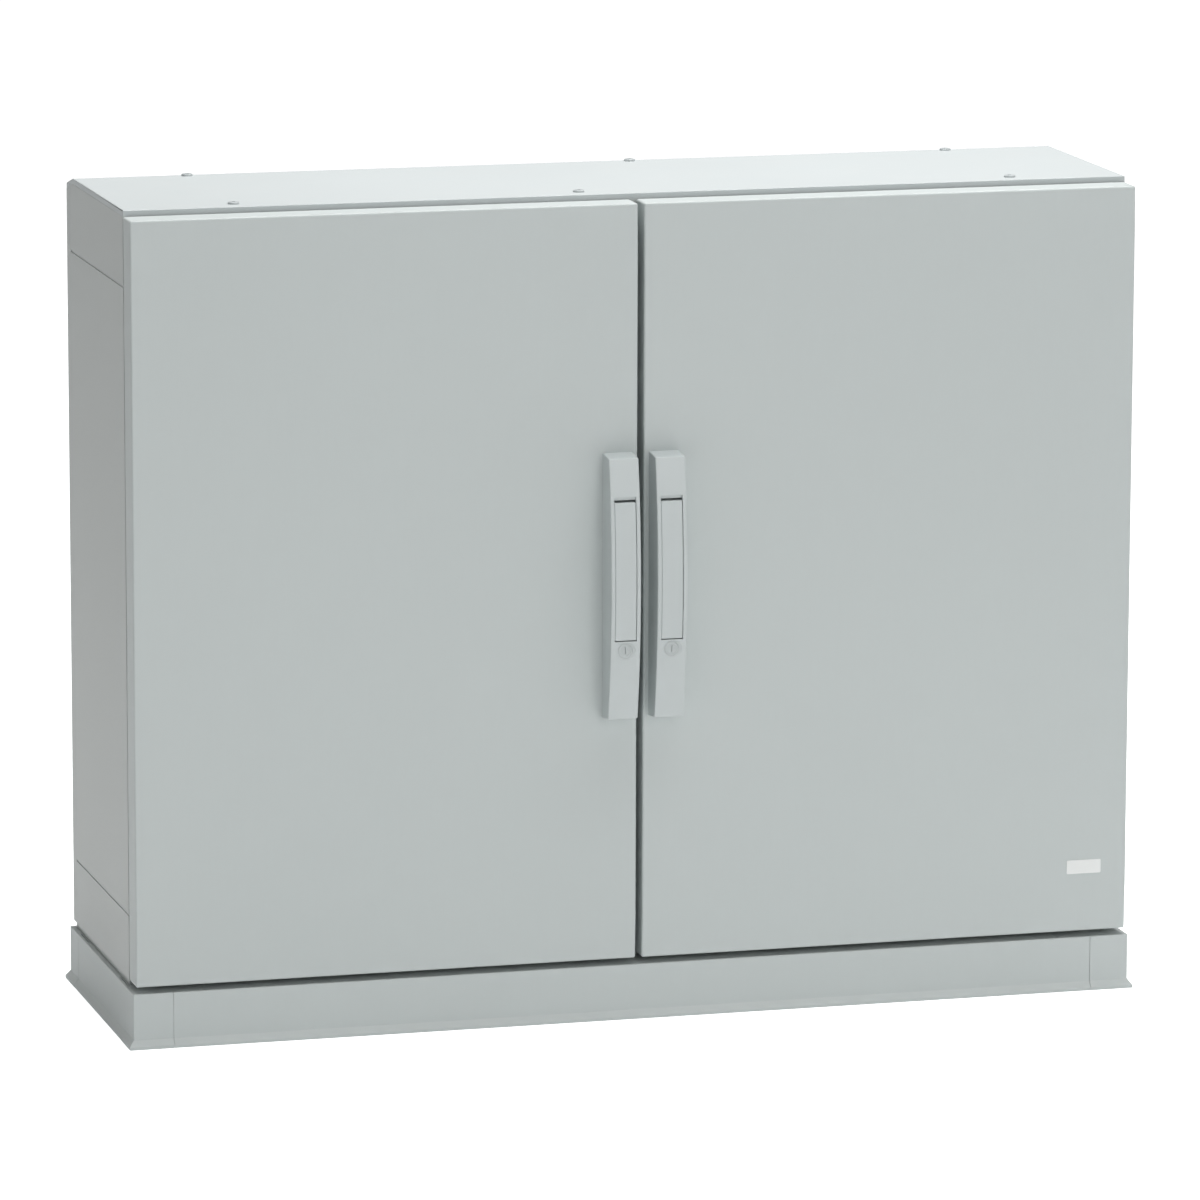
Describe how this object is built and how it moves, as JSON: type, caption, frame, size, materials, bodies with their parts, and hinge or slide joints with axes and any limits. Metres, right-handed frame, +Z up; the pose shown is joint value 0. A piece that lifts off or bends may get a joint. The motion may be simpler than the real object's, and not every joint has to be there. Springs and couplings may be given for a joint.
{
  "type": "pad-mounted utility enclosure",
  "caption": "Low wide floor-standing utility cabinet with a plinth, hinged doors, bowed pull-lever handles and rod latches around an equipment bay.",
  "frame": {"origin": "centre of the plinth's base, on the ground plane and at the centre of the ground anchor holes", "axes": "+X to the right of somebody facing the doors, +Y to the back of the cabinet, +Z up"},
  "size_m": [1.269, 0.425, 1.0116],
  "materials": {
    "door_polyester": "fine moulded satin",
    "body_polyester": "fine moulded satin",
    "roof_polyester": "fine moulded satin",
    "plinth_polyester": "fine moulded satin",
    "handle_plastic": "smooth satin",
    "lever_plastic": "smooth satin",
    "seal_foam": "soft closed-cell foam",
    "label_film": "plain blank",
    "lock_zinc": "satin zinc",
    "guide_nylon": "moulded",
    "galvanised_steel": "zinc plated",
    "stainless_steel": "bright",
    "terminal_brass": "plain",
    "roof_screw_plastic": "capped"
  },
  "bodies": {
    "root": {"bottom_frame": "body_polyester", "centre_post": "body_polyester", "earth_terminal": "terminal_brass", "entry_plate_screws": "stainless_steel", "frame_screws": "stainless_steel", "hinge_screws": "stainless_steel", "keepers": "galvanised_steel", "left_entry_plate": "body_polyester", "left_hinge_arms": "galvanised_steel", "left_mounting_rail": "galvanised_steel", "left_side_panel": "body_polyester", "mounting_plate": "galvanised_steel", "mounting_screws": "stainless_steel", "plinth_bolts": "stainless_steel", "plinth_corner_front_left": "plinth_polyester", "plinth_corner_front_right": "plinth_polyester", "plinth_corner_rear_left": "plinth_polyester", "plinth_corner_rear_right": "plinth_polyester", "plinth_panel_front": "plinth_polyester", "plinth_panel_left": "plinth_polyester", "plinth_panel_rear": "plinth_polyester", "plinth_panel_right": "plinth_polyester", "plinth_screws": "stainless_steel", "rear_panel": "body_polyester", "right_entry_plate": "body_polyester", "right_hinge_arms": "galvanised_steel", "right_mounting_rail": "galvanised_steel", "right_side_panel": "body_polyester", "roof": "roof_polyester", "roof_screws": "roof_screw_plastic", "top_frame": "body_polyester"},
    "left_door": {"left_door_shell": "door_polyester", "left_door_gasket": "seal_foam", "left_hinge_leaves": "galvanised_steel", "left_hinge_pins": "stainless_steel", "left_handle_housing": "handle_plastic", "left_lock_case": "galvanised_steel", "left_lock_screws": "stainless_steel", "left_rod_guides": "guide_nylon"},
    "left_lever": {"left_lever": "lever_plastic", "left_lever_pins": "stainless_steel"},
    "left_lock": {"left_lock_cylinder": "lock_zinc"},
    "left_disc": {"left_cam_disc": "galvanised_steel"},
    "left_upper_rod": {"left_upper_rod": "galvanised_steel"},
    "left_lower_rod": {"left_lower_rod": "galvanised_steel"},
    "right_door": {"right_door_shell": "door_polyester", "right_door_gasket": "seal_foam", "right_hinge_leaves": "galvanised_steel", "right_hinge_pins": "stainless_steel", "right_handle_housing": "handle_plastic", "right_lock_case": "galvanised_steel", "right_lock_screws": "stainless_steel", "right_rod_guides": "guide_nylon", "blank_label_plate": "label_film"},
    "right_lever": {"right_lever": "lever_plastic", "right_lever_pins": "stainless_steel"},
    "right_lock": {"right_lock_cylinder": "lock_zinc"},
    "right_disc": {"right_cam_disc": "galvanised_steel"},
    "right_upper_rod": {"right_upper_rod": "galvanised_steel"},
    "right_lower_rod": {"right_lower_rod": "galvanised_steel"}
  },
  "joints": [
    {"name": "left_door_hinge", "type": "hinge", "parent": "root", "child": "left_door", "pos_m": [-0.614, -0.1735, 0.5385], "axis": [0, 0, -1], "range_deg": [0, 110]},
    {"name": "left_lever_lift", "type": "hinge", "parent": "left_door", "child": "left_lever", "pos_m": [-0.029, -0.2155, 0.6375], "axis": [-1, 0, 0], "range_deg": [0, 40]},
    {"name": "left_lock_turn", "type": "hinge", "parent": "left_door", "child": "left_lock", "pos_m": [-0.029, -0.2045, 0.465], "axis": [0, 1, 0], "range_deg": [0, 90]},
    {"name": "left_disc_turn", "type": "hinge", "parent": "left_door", "child": "left_disc", "pos_m": [-0.0559, -0.159, 0.5635], "axis": [0, 1, 0], "range_deg": [0, 62.52]},
    {"name": "left_upper_rod_slide", "type": "slide", "parent": "left_door", "child": "left_upper_rod", "axis": [0, 0, -1], "range_m": [0, 0.0301]},
    {"name": "left_lower_rod_slide", "type": "slide", "parent": "left_door", "child": "left_lower_rod", "axis": [0, 0, 1], "range_m": [0, 0.0301]},
    {"name": "right_door_hinge", "type": "hinge", "parent": "root", "child": "right_door", "pos_m": [0.614, -0.1735, 0.5385], "axis": [0, 0, 1], "range_deg": [0, 110]},
    {"name": "right_lever_lift", "type": "hinge", "parent": "right_door", "child": "right_lever", "pos_m": [0.029, -0.2155, 0.6375], "axis": [-1, 0, 0], "range_deg": [0, 40]},
    {"name": "right_lock_turn", "type": "hinge", "parent": "right_door", "child": "right_lock", "pos_m": [0.029, -0.2045, 0.465], "axis": [0, -1, 0], "range_deg": [0, 90]},
    {"name": "right_disc_turn", "type": "hinge", "parent": "right_door", "child": "right_disc", "pos_m": [0.0559, -0.159, 0.5635], "axis": [0, -1, 0], "range_deg": [0, 62.52]},
    {"name": "right_upper_rod_slide", "type": "slide", "parent": "right_door", "child": "right_upper_rod", "axis": [0, 0, -1], "range_m": [0, 0.0301]},
    {"name": "right_lower_rod_slide", "type": "slide", "parent": "right_door", "child": "right_lower_rod", "axis": [0, 0, 1], "range_m": [0, 0.0301]}
  ],
  "couplings": [
    {"joint": "left_disc_turn", "follows": "left_lever_lift", "ratio": 1.563},
    {"joint": "left_upper_rod_slide", "follows": "left_lever_lift", "m_per_rad": 0.043111},
    {"joint": "left_lower_rod_slide", "follows": "left_lever_lift", "m_per_rad": 0.043111},
    {"joint": "right_disc_turn", "follows": "right_lever_lift", "ratio": 1.563},
    {"joint": "right_upper_rod_slide", "follows": "right_lever_lift", "m_per_rad": 0.043111},
    {"joint": "right_lower_rod_slide", "follows": "right_lever_lift", "m_per_rad": 0.043111}
  ]
}
